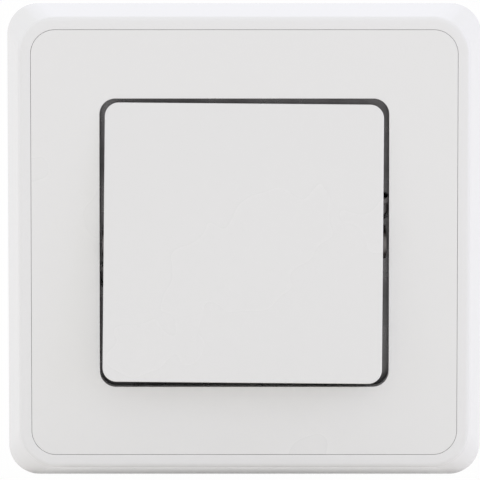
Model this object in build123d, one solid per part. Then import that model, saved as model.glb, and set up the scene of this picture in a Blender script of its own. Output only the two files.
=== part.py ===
from build123d import *
import math
import os

# A flush pushbutton switch for a round 60 mm wall box: a surround frame, a centre plate,
# a large square key, and behind them a mechanism held by a steel yoke with two spreading claws.
#
# Millimetres. Every piece is drawn lying on its back, as on a bench: x to the right, y towards
# the top of the switch, z out of the wall, and the wall's face is z = 0. The last step stands
# the switch up, so that its front looks along -Y and its top is +Z.

# Front of the switch
FRAME_SIDE = 81.8
FRAME_CORNER = 5.3
FRAME_FOOT = 0.6
FRONT_Z = 8.0
SHOULDER_SIDE = 77.3
SHOULDER_CORNER = 6.6
SHOULDER_DROP = 0.5
PLATE_SIDE = 73.2
PLATE_CORNER = 4.2
PLATE_GAP = 0.05
PLATE_THICK = 2.1
EDGE_BREAK = 0.15
LEDGE_SIDE = 68.8
LEDGE_THICK = 1.5
FRAME_WALL = 1.7
FRAME_TAPER = 17.0
APERTURE_SIDE = 49.6
APERTURE_CORNER = 2.7
APERTURE_WALL = 1.2
APERTURE_DEPTH = 2.9
HOLLOW_CORNER = 4.5
LEDGE_CORNER = 3.0
FRAME_RIB_PLACES = (-24, -8, 8, 24)
FRAME_RIB_FOOT = 0.4
PLATE_RIB_PLACES = (-15, 0, 15)
RIB_HALF = 0.5
PLATE_RECESS = 0.5
PLATE_RIB_HEIGHT = 0.7

# Key and the rocking carrier under it, drawn level about their pivot axis
KEY_SIDE = 47.8
KEY_CORNER = 2.4
KEY_FACE = 1.8
KEY_WALL = 1.3
KEY_SKIRT = 5.8
KEY_DRAFT = 0.2
KEY_HEIGHT = 4.96
KEY_EDGE = 0.22
KEY_SKEW = 0.5
KEY_SHIFT = 0.17
KEY_NOTCH = 6.6
KEY_HOLLOW_CORNER = 1.2
KEY_RIB_PLACES = (-6.0, 6.0)
KEY_RIB_REACH_X = 18.0
KEY_RIB_REACH_Y = 11.5
KEY_TILT = 5.0
PIVOT_Y = -0.25
PIVOT_Z = 5.5
PIVOT_R = 1.2
RUNNING_FIT = 0.05
CARRIER_HALF_X = 21.4
CARRIER_HALF_Y = 12.4
CARRIER_TOP = 1.0
CARRIER_BOTTOM = -0.8
CARRIER_CORNER = 2.0
CLIP_X = 12.0
CLIP_Y = 9.0
CLIP_WIDTH = 4.6
CLIP_THICK = 1.2
CLIP_HOOK = 0.8
CLIP_ROOM = 0.4
CLIP_UNDERCUT = 0.1
CLIP_HOOK_DEPTH = 0.8
NOSE_Y = -9.0
NOSE_Z = -0.9
NOSE_R = 1.2
NOSE_HALF_X = 3.0
SPINE_R = 1.8

# Steel yoke
YOKE_SIDE = 70.0
YOKE_ROOM = 0.6
NECK_ROOM = 0.2
YOKE_CORNER = 7.0
YOKE_THICK = 1.0
YOKE_LIP = 2.0
LIP_HALF_X = 22.0
BOX_SCREW_REACH = 30.0
BOX_SLOT_WIDTH = 4.2
BOX_SLOT_LENGTH = 7.0
LEG_Y = 11.8
LEG_WIDTH = 4.4
LEG_INNER_X = 25.3
LEG_THICK = 1.2
LEG_HOOK = 0.8
LEG_SLOT = (25.15, 26.8)
LEG_ROOM = 0.6
HOOK_TOP_Z = -0.25
HOOK_EDGE_Z = -0.7
LEG_TIP_Z = -1.8

# Mechanism: a rear body and a front cover, with the yoke held between them
BODY_HALF_X = 19.5
BODY_HALF_Y = 22.0
BODY_DEPTH = 21.0
BODY_CORNER = 2.0
BODY_BACK_EDGE = 1.2
NECK_HALF_X = 18.0
NECK_HALF_Y = 20.5
COVER_HALF_X = 19.6
COVER_HALF_Y = 21.4
COVER_THICK = 2.0
COVER_CORNER = 2.0
ARM_HALF_Y = 2.8
CHEEK_INNER_X = 22.8
CHEEK_OUTER_X = 24.4
CHEEK_R = 2.2
COVER_SCREW_X = 15.6
COVER_SCREW_Y = 17.8
COVER_SCREW_R = 1.05
COVER_SCREW_LENGTH = 8.5
COVER_HEAD_R = 2.0
COVER_HEAD = 1.1
COVER_SCREW_SLOT = 0.6
COVER_HOLE_R = 1.3
BODY_HOLE_R = 1.1
BODY_HOLE_BOTTOM = -8.0
CLIP_RECESS_X = 3.2
CLIP_RECESS_Y = 2.2
CLIP_RECESS_DEPTH = 1.0
GUIDE_R = 3.4

# Contact set
PLUNGER_Y = -9.2
PLUNGER_R = 1.5
PLUNGER_BLUNT = 0.6
PLUNGER_COLLAR_R = 2.6
PLUNGER_TOP = 4.13
PLUNGER_BOTTOM = -3.94
GUIDE_BOTTOM = -0.25
LEVER_TOP = -4.0
LEVER_THICK = 0.9
LEVER_HALF_X = 2.5
LEVER_CORNER = 0.8
LEVER_FRONT_Y = 3.6
LEVER_TIP_REACH = 2.0
GROOVE_R = 0.45
GROOVE_DROP = 0.2
PIP_R = 1.3
PIP_HEIGHT = 0.7
FULCRUM_Y = 1.0
FULCRUM_Z = -4.95
TIP_Y = -14.2
TIP_R = 1.5
TIP_HOLE_R = 0.9
TIP_NECK_R = 0.88
TIP_CLEARANCE = 0.08
TIP_HEIGHT = 0.8
STRIP_THICK = 0.8
STRIP_HALF = 2.0
STRIP_Y = (-16.4, -12.3)
STRIP_GAP = 0.05
FOOT_REACH = 3.0
RESTING_STRIP_Z = -2.0
WORKING_STRIP_Z = -9.1
WORKING_TIP_TOP = -7.45
CHAMBER_FLOOR = -14.0
CHAMBER_HALF_X = 4.0
CHAMBER_Y = (-16.6, 4.5)
STRIP_CHANNEL_Y = (-16.6, -12.0)
COMMON_CHANNEL_X = 3.8
LEG_CHANNEL = 1.0
LEG_CHANNEL_X = 2.3
SPRING_SEAT_R = 3.2
SPRING_STUD_R = 1.5
SPRING_STUD = 1.3
SPRING_Z = (-12.5, -4.95)
SPRING_R = 2.1
WIRE_ACROSS = 0.45
SPRING_TURNS = 4.5
SPRING_SEAT_GAP = 0.03

# Common strip: a post with two ears, an edge between them, and a foot that narrows to its cage
POST_HALF_X = 3.6
EAR_TOP = -3.4
EAR_ROOM = 0.2
EDGE_R = 0.4
EDGE_DROP = 0.3
FOOT_STEP_Y = 9.0
COMMON_FOOT_HALF_X = 2.1

# Terminals: a brass cage with a screw from behind, and a wire entry from the edge
CAGE_SIZE = (7.4, 8.0, 7.4)
CAGE_BACK = -19.3
CAGE_WINDOW = (4.8, 4.4)
CAGE_FLOOR = 1.7
CAGE_EDGE = 0.6
CAGE_ROOM = 0.15
PAIR_X = 9.9
PAIR_Y = -14.5
COMMON_Y = 14.5
WIRE_R = 1.9
TERMINAL_SCREW_R = 1.7
TERMINAL_HEAD_R = 2.8
TERMINAL_HEAD = 1.3
TERMINAL_SCREW_LENGTH = 3.6
WELL_R = 3.1

# Claws: a screw pulls a nut and a forked claw forwards, and a ramp on the body spreads the claw
CLAW_X = 23.2
CLAW_Y = 6.0
CLAW_HALF_Y = 4.2
CLAW_SHEET = 1.2
CLAW_FRONT = -12.0
CLAW_INNER_X = 17.4
CLAW_OUTER_X = 27.2
CLAW_BACK = -20.2
CLAW_SPREAD = 5.5
CLAW_BEND = 1.0
CLAW_FLARE = 0.7
CLAW_FLARE_LENGTH = 2.4
CLAW_TEETH = 4
TOOTH_R = 1.0
FORK_HALF = 1.7
POCKET_X = 17.0
POCKET_HALF_Y = 4.5
POCKET_TOP = -1.2
RAMP_SHOULDER = -3.6
RAMP_GAP = 0.1
RAMP_INNER_Y = 2.75
CLAW_SCREW_R = 1.5
CLAW_SCREW_LENGTH = 19.5
CLAW_HOLE_R = 1.7
CLAW_HEAD_R = 2.5
CLAW_HEAD = 1.9
NUT_SIDE = 5.0
NUT_THICK = 2.4
NUT_CORNER = 0.3
NUT_GAP = 0.05
NUT_RIB_X = 20.4
NUT_RIB_HALF_Y = 1.3
NUT_RIB_END = -18.0

# Small turned parts, such as screws and contact rivets, are drawn with this many flats
FLATS = 16

EPS = 0.01

# Side, corner radius and height of the frame's outline, from the wall to the front
FRAME_SECTIONS = [
    (FRAME_SIDE, FRAME_CORNER, 0.0),
    (FRAME_SIDE, FRAME_CORNER, FRAME_FOOT),
    (SHOULDER_SIDE, SHOULDER_CORNER, FRONT_Z - SHOULDER_DROP),
    (SHOULDER_SIDE - 2 * SHOULDER_DROP, SHOULDER_CORNER - SHOULDER_DROP, FRONT_Z),
]


def block(x, y, z):
    """A box between two values on each axis."""
    size = (x[1] - x[0], y[1] - y[0], z[1] - z[0])
    centre = ((x[0] + x[1]) / 2, (y[0] + y[1]) / 2, (z[0] + z[1]) / 2)
    return Pos(*centre) * Box(*size)


def pad(width, height, corner, z):
    """A plate with rounded corners, centred on the z axis, between two heights."""
    outline = RectangleRounded(width, height, corner)
    return extrude(Pos(0, 0, z[0]) * outline, z[1] - z[0])


def rod(x, y, radius, z):
    """An upright cylinder between two heights."""
    return Pos(x, y, (z[0] + z[1]) / 2) * Cylinder(radius, z[1] - z[0])


def pin(x, y, radius, z):
    """An upright many-sided pin between two heights, for the small turned parts."""
    return Pos(x, y, z[0]) * extrude(RegularPolygon(radius, FLATS), z[1] - z[0])


def cross_rod(radius, x, y=0.0, z=0.0):
    """A cylinder that lies along x."""
    return Pos((x[0] + x[1]) / 2, y, z) * Rot(0, 90, 0) * Cylinder(radius, x[1] - x[0])


def side_plate(points, y):
    """A closed outline in x and z, given its width along y."""
    outline = make_face(Polyline(*[(px, 0, pz) for px, pz in points], close=True))
    return Pos(0, y[0], 0) * extrude(outline, y[1] - y[0], dir=(0, 1, 0))


def edges_at(part, z, tolerance=0.02):
    """The edges that lie wholly at one height."""
    return part.edges().filter_by_position(Axis.Z, z - tolerance, z + tolerance)


def edges_within(part, z, reach):
    """The edges at one height whose middles are no further out than a reach in x or y."""
    level = edges_at(part, z)
    return [e for e in level if max(abs(e.center().X), abs(e.center().Y)) < reach + EPS]


def quarters(piece):
    """A piece and its copies turned about z to the four sides."""
    return [Rot(0, 0, 90 * turn) * piece for turn in range(4)]


def surround_frame():
    """The outer frame: sloping sides, a rounded shoulder and a rebate for the centre plate."""
    sections = []
    for side, corner, z in FRAME_SECTIONS:
        sections.append(Pos(0, 0, z) * RectangleRounded(side, side, corner))
    shell = loft(sections, ruled=True)

    ledge_top = FRONT_Z - PLATE_THICK
    ledge_under = ledge_top - LEDGE_THICK
    hollow_side = FRAME_SIDE - 2 * FRAME_WALL
    hollow_outline = RectangleRounded(hollow_side, hollow_side, HOLLOW_CORNER)
    hollow = extrude(hollow_outline, ledge_under, taper=FRAME_TAPER)
    shell -= hollow
    shell -= pad(LEDGE_SIDE, LEDGE_SIDE, LEDGE_CORNER, (0, FRONT_Z + 1))
    rebate = pad(PLATE_SIDE, PLATE_SIDE, PLATE_CORNER, (ledge_top, FRONT_Z + 1))
    shell -= rebate

    # stiffening ribs across the hollow back, clear of the yoke
    rib_reach = (YOKE_SIDE / 2 + YOKE_ROOM, FRAME_SIDE / 2 - FRAME_WALL / 2)
    for place in FRAME_RIB_PLACES:
        rib = block(rib_reach, (place - RIB_HALF, place + RIB_HALF), (FRAME_RIB_FOOT, ledge_under + EPS))
        for turned in quarters(rib & hollow):
            shell += turned
    return shell


def centre_plate():
    """The flat plate round the key, with a guide wall behind its opening and four clip legs."""
    side = PLATE_SIDE - 2 * PLATE_GAP
    under = FRONT_Z - PLATE_THICK
    plate = pad(side, side, PLATE_CORNER - PLATE_GAP, (under, FRONT_Z))
    guide_side = APERTURE_SIDE + 2 * APERTURE_WALL
    guide_corner = APERTURE_CORNER + APERTURE_WALL
    # a shallow recess behind the face leaves a level wall and a firm rim
    recess = pad(LEDGE_SIDE - 2, LEDGE_SIDE - 2, LEDGE_CORNER - 0.5, (under, under + PLATE_RECESS))
    recess -= pad(guide_side, guide_side, guide_corner, (under - 1, FRONT_Z))
    plate -= recess
    guide_bottom = FRONT_Z - APERTURE_DEPTH
    plate += pad(guide_side, guide_side, guide_corner, (guide_bottom, under + 1))
    for place in PLATE_RIB_PLACES:
        reach = (guide_side / 2 - 0.3, LEDGE_SIDE / 2 - 0.7)
        rib = block(reach, (place - RIB_HALF, place + RIB_HALF), (under, under + PLATE_RIB_HEIGHT))
        for turned in quarters(rib):
            plate += turned
    for side_x in (-1, 1):
        for side_y in (-1, 1):
            plate += clip_leg(side_x, side_y)
    plate -= pad(APERTURE_SIDE, APERTURE_SIDE, APERTURE_CORNER, (LEG_TIP_Z - 1, FRONT_Z + 1))
    return chamfer(edges_within(plate, FRONT_Z, APERTURE_SIDE / 2), EDGE_BREAK)


def clip_leg(side_x, side_y):
    """A leg that reaches through the yoke and hooks behind it."""
    inner = LEG_INNER_X
    outer = inner + LEG_THICK
    hook = outer + LEG_HOOK
    top = FRONT_Z - PLATE_THICK + PLATE_RECESS + 0.1
    points = [
        (inner, top),
        (outer, top),
        (outer, HOOK_TOP_Z),
        (hook, HOOK_TOP_Z),
        (hook, HOOK_EDGE_Z),
        (outer - 0.2, LEG_TIP_Z),
        (inner, LEG_TIP_Z),
    ]
    across = (LEG_Y - LEG_WIDTH / 2, LEG_Y + LEG_WIDTH / 2)
    if side_y < 0:
        across = (-across[1], -across[0])
    return side_plate([(side_x * px, pz) for px, pz in points], across)


def key():
    """The square key: a flat face with drafted skirts, clips for the carrier and ribs behind."""
    face_z = KEY_HEIGHT
    rim_z = face_z - KEY_SKIRT
    low_side = KEY_SIDE - 2 * KEY_DRAFT
    rim = Pos(0, 0, rim_z) * RectangleRounded(low_side, low_side, KEY_CORNER - KEY_DRAFT)
    cap = extrude(rim, KEY_SKIRT, taper=-math.degrees(math.atan(KEY_DRAFT / KEY_SKIRT)))
    cap = chamfer(edges_at(cap, face_z), KEY_EDGE)
    under = face_z - KEY_FACE
    inside = low_side - 2 * KEY_WALL
    cap -= pad(inside, inside, KEY_HOLLOW_CORNER, (rim_z - 1, under))
    # the cheeks of the mechanism reach into a notch halfway up each side
    for side in (-1, 1):
        notch_x = sorted((side * (inside / 2 - 1), side * KEY_SIDE))
        cap -= block(notch_x, (-KEY_NOTCH / 2, KEY_NOTCH / 2), (rim_z - 1, under))
    rib_z = (CARRIER_TOP + 0.05, under + EPS)
    for place in KEY_RIB_PLACES:
        across = (place - RIB_HALF, place + RIB_HALF)
        cap += block(across, (-KEY_RIB_REACH_Y, KEY_RIB_REACH_Y), rib_z)
        cap += block((-KEY_RIB_REACH_X, KEY_RIB_REACH_X), across, rib_z)
    for side_x in (-1, 1):
        for side_y in (-1, 1):
            cap += key_clip(side_x, side_y, under)
    return Pos(-KEY_SHIFT, 0, 0) * Rot(0, 0, -KEY_SKEW) * cap


def key_clip(side_x, side_y, under):
    """A hooked clip that snaps through a slot of the carrier."""
    back = CLIP_Y - CLIP_THICK / 2
    front = CLIP_Y + CLIP_THICK / 2
    hook_z = CARRIER_BOTTOM - CLIP_UNDERCUT
    tip_z = hook_z - CLIP_HOOK_DEPTH
    points = [
        (back, under + EPS),
        (front, under + EPS),
        (front, hook_z),
        (front + CLIP_HOOK, hook_z),
        (front, tip_z),
        (back, tip_z),
    ]
    outline = make_face(Polyline(*[(0, side_y * py, pz) for py, pz in points], close=True))
    clip = extrude(outline, CLIP_WIDTH, dir=(1, 0, 0))
    return Pos(side_x * CLIP_X - CLIP_WIDTH / 2, 0, 0) * clip


def rocker_carrier():
    """The rocking plate that the key clips on, with its two pivots and the nose for the plunger."""
    plate_z = (CARRIER_BOTTOM, CARRIER_TOP)
    plate = pad(2 * CARRIER_HALF_X, 2 * CARRIER_HALF_Y, CARRIER_CORNER, plate_z)
    for side_x in (-1, 1):
        for side_y in (-1, 1):
            half = CLIP_WIDTH / 2 + CLIP_ROOM
            slot_x = (side_x * CLIP_X - half, side_x * CLIP_X + half)
            near = CLIP_Y - CLIP_THICK / 2 - CLIP_ROOM
            far = CLIP_Y + CLIP_THICK / 2 + CLIP_ROOM
            slot_y = sorted((side_y * near, side_y * far))
            plate -= block(slot_x, slot_y, (CARRIER_BOTTOM - 1, CARRIER_TOP + 1))
    # a round rib along the axis stiffens the plate, and ends in a pivot at each side
    plate += cross_rod(SPINE_R, (-CARRIER_HALF_X, CARRIER_HALF_X))
    over_spine = (-2 * SPINE_R, 2 * SPINE_R)
    plate -= block((-CARRIER_HALF_X - 1, CARRIER_HALF_X + 1), over_spine, (CARRIER_TOP, 2 * SPINE_R))
    for side in (-1, 1):
        pivot_x = sorted((side * (CARRIER_HALF_X - 1), side * (CHEEK_OUTER_X - 0.1)))
        plate += cross_rod(PIVOT_R, pivot_x)
    nose_x = (-NOSE_HALF_X, NOSE_HALF_X)
    plate += cross_rod(NOSE_R, nose_x, NOSE_Y, NOSE_Z)
    plate += block(nose_x, (NOSE_Y - NOSE_R, NOSE_Y + NOSE_R), (NOSE_Z, CARRIER_BOTTOM + EPS))
    return plate


def on_pivot(piece):
    """Places a piece drawn about the pivot axis, tilted as it rests: its lower edge stands out."""
    return Pos(0, PIVOT_Y, PIVOT_Z) * Rot(-KEY_TILT, 0, 0) * piece


def support_yoke():
    """The steel plate that screws to the wall box."""
    plate = pad(YOKE_SIDE, YOKE_SIDE, YOKE_CORNER, (0, YOKE_THICK))
    opening_x = 2 * (NECK_HALF_X + NECK_ROOM)
    opening_y = 2 * (NECK_HALF_Y + NECK_ROOM)
    plate -= Box(opening_x, opening_y, 4 * YOKE_THICK)
    slot_outline = Pos(BOX_SCREW_REACH, 0, -1) * SlotOverall(BOX_SLOT_LENGTH, BOX_SLOT_WIDTH)
    slot = extrude(slot_outline, YOKE_THICK + 2)
    for turned in quarters(slot):
        plate -= turned
    through = (-1, YOKE_THICK + 1)
    for side in (-1, 1):
        plate -= rod(side * CLAW_X, side * CLAW_Y, CLAW_HOLE_R, through)
        for side_y in (-1, 1):
            slot_x = sorted((side * LEG_SLOT[0], side * LEG_SLOT[1]))
            half = LEG_WIDTH / 2 + LEG_ROOM
            plate -= block(slot_x, (side_y * LEG_Y - half, side_y * LEG_Y + half), through)
        # stiffening lips folded forwards along the top and bottom edges
        lip_y = sorted((side * YOKE_SIDE / 2, side * (YOKE_SIDE / 2 - YOKE_THICK)))
        plate += block((-LIP_HALF_X, LIP_HALF_X), lip_y, (0, YOKE_THICK + YOKE_LIP))
    return plate


def mechanism_cover():
    """The front of the mechanism: the cheeks that carry the rocker, and the plunger's guide."""
    top = YOKE_THICK + COVER_THICK
    cover = pad(2 * COVER_HALF_X, 2 * COVER_HALF_Y, COVER_CORNER, (YOKE_THICK, top))
    arm_y = (PIVOT_Y - ARM_HALF_Y, PIVOT_Y + ARM_HALF_Y)
    cover += block((-CHEEK_OUTER_X, CHEEK_OUTER_X), arm_y, (YOKE_THICK, top))
    for side in (-1, 1):
        across = sorted((side * CHEEK_INNER_X, side * CHEEK_OUTER_X))
        cheek = block(across, (PIVOT_Y - CHEEK_R, PIVOT_Y + CHEEK_R), (top - EPS, PIVOT_Z))
        cheek += cross_rod(CHEEK_R, across, PIVOT_Y, PIVOT_Z)
        bore_x = sorted((side * (CHEEK_INNER_X - 1), side * (CHEEK_OUTER_X + 1)))
        cover += cheek - cross_rod(PIVOT_R + RUNNING_FIT, bore_x, PIVOT_Y, PIVOT_Z)
        for side_y in (-1, 1):
            # room for the key's clips, and a hole for each cover screw
            middle_y = side_y * (CLIP_Y + CLIP_THICK / 2)
            cover -= block(
                (side * CLIP_X - CLIP_RECESS_X, side * CLIP_X + CLIP_RECESS_X),
                (middle_y - CLIP_RECESS_Y, middle_y + CLIP_RECESS_Y),
                (top - CLIP_RECESS_DEPTH, top + 1),
            )
            cover -= pin(side * COVER_SCREW_X, side_y * COVER_SCREW_Y, COVER_HOLE_R, (0, top + 1))
    cover += rod(0, PLUNGER_Y, GUIDE_R, (GUIDE_BOTTOM, YOKE_THICK + EPS))
    cover -= rod(0, PLUNGER_Y, PLUNGER_R + RUNNING_FIT, (GUIDE_BOTTOM - 1, top + 1))
    return cover


def mechanism_body():
    """The rear body: chambers for the contacts and cages, wire entries, screw wells, claw ramps."""
    body = block((-BODY_HALF_X, BODY_HALF_X), (-BODY_HALF_Y, BODY_HALF_Y), (-BODY_DEPTH, 0))
    body = chamfer(body.edges().filter_by(Axis.Z), BODY_CORNER)
    body = chamfer(edges_at(body, -BODY_DEPTH), BODY_BACK_EDGE)
    body += block((-NECK_HALF_X, NECK_HALF_X), (-NECK_HALF_Y, NECK_HALF_Y), (-EPS, YOKE_THICK))
    above = YOKE_THICK + 1

    # contact chamber, and the channel of the common strip
    body -= block((-CHAMBER_HALF_X, CHAMBER_HALF_X), CHAMBER_Y, (CHAMBER_FLOOR, above))
    body -= block((-COMMON_CHANNEL_X, COMMON_CHANNEL_X), (0, COMMON_Y), (CHAMBER_FLOOR, above))
    body += pin(0, PLUNGER_Y, SPRING_SEAT_R, (CHAMBER_FLOOR - EPS, SPRING_Z[0]))
    body += pin(0, PLUNGER_Y, SPRING_STUD_R, (SPRING_Z[0] - EPS, SPRING_Z[0] + SPRING_STUD))

    # channels of the two fixed strips, then a pocket, entry and screw well for each terminal
    body -= block((0, PAIR_X), STRIP_CHANNEL_Y, (RESTING_STRIP_Z, above))
    body -= block((-PAIR_X, 0), STRIP_CHANNEL_Y, (WORKING_STRIP_Z, above))
    half_x = CAGE_SIZE[0] / 2 + CAGE_ROOM
    half_y = CAGE_SIZE[1] / 2 + CAGE_ROOM
    for x, y in terminal_places():
        body -= block((x - half_x, x + half_x), (y - half_y, y + half_y), (CAGE_BACK - 0.1, above))
        outward = math.copysign(1, y)
        inner = sorted((y - outward * half_y, y - outward * (half_y + LEG_CHANNEL)))
        body -= block((x - LEG_CHANNEL_X, x + LEG_CHANNEL_X), inner, (CHAMBER_FLOOR, above))
        body -= rod(x, y, WELL_R, (-BODY_DEPTH - 1, CAGE_BACK))
        entry = Pos(x, outward * BODY_HALF_Y, cage_middle()) * Rot(90, 0, 0) * Cylinder(WIRE_R, 8)
        body -= entry

    for side in (-1, 1):
        for side_y in (-1, 1):
            hole_z = (BODY_HOLE_BOTTOM, above)
            body -= pin(side * COVER_SCREW_X, side_y * COVER_SCREW_Y, BODY_HOLE_R, hole_z)
        body = claw_pocket(body, side)
    return body


def claw_pocket(body, side):
    """Cuts the pocket of one claw and adds its two ramps and the nut's guide rib."""
    y = side * CLAW_Y
    across = sorted((side * POCKET_X, side * (BODY_HALF_X + 1)))
    body -= block(across, (y - POCKET_HALF_Y, y + POCKET_HALF_Y), (-BODY_DEPTH - 1, POCKET_TOP))
    ramp_end = CLAW_INNER_X + CLAW_SPREAD + 0.5
    offset = CLAW_FRONT - CLAW_INNER_X + RAMP_GAP
    points = [
        (POCKET_X - EPS, POCKET_X + offset),
        (ramp_end, ramp_end + offset),
        (ramp_end, RAMP_SHOULDER),
        (BODY_HALF_X, POCKET_TOP),
        (POCKET_X - EPS, POCKET_TOP),
    ]
    outline = [(side * px, pz) for px, pz in points]
    body += side_plate(outline, (y + RAMP_INNER_Y, y + POCKET_HALF_Y))
    body += side_plate(outline, (y - POCKET_HALF_Y, y - RAMP_INNER_Y))
    rib = sorted((side * (POCKET_X - EPS), side * NUT_RIB_X))
    body += block(rib, (y - NUT_RIB_HALF_Y, y + NUT_RIB_HALF_Y), (NUT_RIB_END, POCKET_TOP))
    return body


def terminal_places():
    """The middle of each terminal: resting contact, working contact and common."""
    return [(PAIR_X, PAIR_Y), (-PAIR_X, PAIR_Y), (0.0, COMMON_Y)]


def cage_middle():
    """The height of the middle of a cage's window, where the wire comes in."""
    return CAGE_BACK + CAGE_FLOOR + CAGE_WINDOW[1] / 2


def terminal_cage(x, y):
    """A brass cage, open from edge to edge for the wire, threaded from behind for its screw."""
    size = CAGE_SIZE
    z = (CAGE_BACK, CAGE_BACK + size[2])
    cage = block((x - size[0] / 2, x + size[0] / 2), (y - size[1] / 2, y + size[1] / 2), z)
    cage = chamfer(cage.edges().filter_by(Axis.Y), CAGE_EDGE)
    window_z = (CAGE_BACK + CAGE_FLOOR, CAGE_BACK + CAGE_FLOOR + CAGE_WINDOW[1])
    half = CAGE_WINDOW[0] / 2
    cage -= block((x - half, x + half), (y - 5, y + 5), window_z)
    cage -= rod(x, y, TERMINAL_SCREW_R + 0.05, (CAGE_BACK - 1, window_z[0] + EPS))
    return cage


def slotted_screw(shank_r, shank, head_r, head, slot=0.8):
    """A screw that points down from z = 0, with a raised, slotted head above."""
    top = pin(0, 0, head_r, (0, head))
    top -= block((-head_r - 1, head_r + 1), (-slot / 2, slot / 2), (head * 0.5, head + 1))
    return top + pin(0, 0, shank_r, (-shank, EPS))


def terminal_screws():
    """The three terminal screws, seated from behind, each turned as its tightening left it."""
    screws = []
    for (x, y), turn in zip(terminal_places(), (20, 75, -40)):
        shank = TERMINAL_SCREW_LENGTH
        screw = slotted_screw(TERMINAL_SCREW_R, shank, TERMINAL_HEAD_R, TERMINAL_HEAD)
        screws.append(Pos(x, y, CAGE_BACK - 0.05) * Rot(180, 0, turn) * screw)
    return Compound(screws)


def cover_screws():
    """The four screws that hold the cover, the yoke and the body together."""
    screws = []
    turns = iter((15, 60, -30, 85))
    for side_x in (-1, 1):
        for side_y in (-1, 1):
            shank = COVER_SCREW_LENGTH
            screw = slotted_screw(COVER_SCREW_R, shank, COVER_HEAD_R, COVER_HEAD, COVER_SCREW_SLOT)
            place = Pos(side_x * COVER_SCREW_X, side_y * COVER_SCREW_Y, YOKE_THICK + COVER_THICK)
            screws.append(place * Rot(0, 0, next(turns)) * screw)
    return Compound(screws)


def plunger():
    """The pin that carries the nose's movement to the lever: flat top, collar, blunt lower end."""
    stem = pin(0, PLUNGER_Y, PLUNGER_R, (PLUNGER_BOTTOM, PLUNGER_TOP))
    stem = chamfer(edges_at(stem, PLUNGER_BOTTOM), PLUNGER_BLUNT)
    collar_top = GUIDE_BOTTOM - 0.1
    return stem + pin(0, PLUNGER_Y, PLUNGER_COLLAR_R, (collar_top - 1.0, collar_top))


def contact_lever():
    """The brass lever that rocks on the common strip's edge."""
    z = (LEVER_TOP - LEVER_THICK, LEVER_TOP)
    half = LEVER_HALF_X
    lever = block((-half, half), (TIP_Y - LEVER_TIP_REACH, LEVER_FRONT_Y), z)
    lever = chamfer(lever.edges().filter_by(Axis.Z), LEVER_CORNER)
    # a shallow groove seats on the fulcrum, and a pip below keeps the spring in place
    lever -= cross_rod(GROOVE_R, (-half - 1, half + 1), FULCRUM_Y, z[0] - GROOVE_DROP)
    lever += pin(0, PLUNGER_Y, PIP_R, (z[0] - PIP_HEIGHT, z[0] + EPS))
    return lever - pin(0, TIP_Y, TIP_HOLE_R, (z[0] - 1, z[1] + 1))


def contact_tip(top, bottom, neck=None):
    """A silver contact rivet between two heights, with a neck where it passes through the lever."""
    tip = pin(0, TIP_Y, TIP_R, (bottom, top))
    if neck:
        ring = pin(0, TIP_Y, TIP_R + 1, neck) - pin(0, TIP_Y, TIP_NECK_R, neck)
        tip -= ring
    return tip


def fixed_strip(side, z):
    """A fixed contact strip: over the lever's end, across, down, and into its cage."""
    across = sorted((-side * STRIP_HALF, side * (PAIR_X + STRIP_HALF)))
    leg_x = (side * PAIR_X - STRIP_HALF, side * PAIR_X + STRIP_HALF)
    inner = PAIR_Y + CAGE_SIZE[1] / 2 + STRIP_GAP
    leg_y = (inner, inner + STRIP_THICK)
    strip = block(across, STRIP_Y, (z, z + STRIP_THICK))
    strip += block(leg_x, (STRIP_Y[1] - EPS, leg_y[1]), (z, z + STRIP_THICK))
    window_top = CAGE_BACK + CAGE_FLOOR + CAGE_WINDOW[1]
    foot_z = (window_top - STRIP_THICK, window_top)
    strip += block(leg_x, leg_y, (foot_z[0], z + EPS))
    strip += block(leg_x, (PAIR_Y - FOOT_REACH, leg_y[1]), foot_z)
    return strip


def common_terminal():
    """The common strip: a post with the lever's edge between two ears, and a foot in its cage."""
    window_top = CAGE_BACK + CAGE_FLOOR + CAGE_WINDOW[1]
    foot_z = (window_top - STRIP_THICK, window_top)
    post_y = (FULCRUM_Y - STRIP_THICK / 2, FULCRUM_Y + STRIP_THICK / 2)
    strip = block((-POST_HALF_X, POST_HALF_X), post_y, (foot_z[0], EAR_TOP))
    between_ears = (-LEVER_HALF_X - EAR_ROOM, LEVER_HALF_X + EAR_ROOM)
    strip -= block(between_ears, (0, 2), (FULCRUM_Z - EDGE_DROP, 0))
    strip += cross_rod(EDGE_R, between_ears, FULCRUM_Y, FULCRUM_Z - EDGE_R + 0.05)
    strip += block((-POST_HALF_X, POST_HALF_X), (post_y[0], FOOT_STEP_Y), foot_z)
    foot_x = (-COMMON_FOOT_HALF_X, COMMON_FOOT_HALF_X)
    return strip + block(foot_x, (FOOT_STEP_Y - EPS, COMMON_Y + FOOT_REACH), foot_z)


def return_spring():
    """The coil that lifts the lever, and with it the plunger and the key; square wire."""
    low = SPRING_Z[0] + WIRE_ACROSS / 2 + SPRING_SEAT_GAP
    high = SPRING_Z[1] - WIRE_ACROSS / 2 - SPRING_SEAT_GAP
    pitch = (high - low) / SPRING_TURNS
    lead = math.degrees(math.atan(pitch / (2 * math.pi * SPRING_R)))
    steps = round(SPRING_TURNS * FLATS)
    sections = []
    for step in range(steps + 1):
        turn = Rot(0, 0, 360 * step / FLATS)
        place = Pos(SPRING_R, 0, pitch * step / FLATS) * Rot(lead - 90, 0, 0)
        sections.append(turn * place * Rectangle(WIRE_ACROSS, WIRE_ACROSS))
    return Pos(0, PLUNGER_Y, low) * loft(sections, ruled=True)


def claw_screw(side):
    """A long screw through the yoke, which draws the nut forwards."""
    screw = slotted_screw(CLAW_SCREW_R, CLAW_SCREW_LENGTH, CLAW_HEAD_R, CLAW_HEAD)
    return Pos(side * CLAW_X, side * CLAW_Y, YOKE_THICK) * Rot(0, 0, side * 35) * screw


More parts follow.
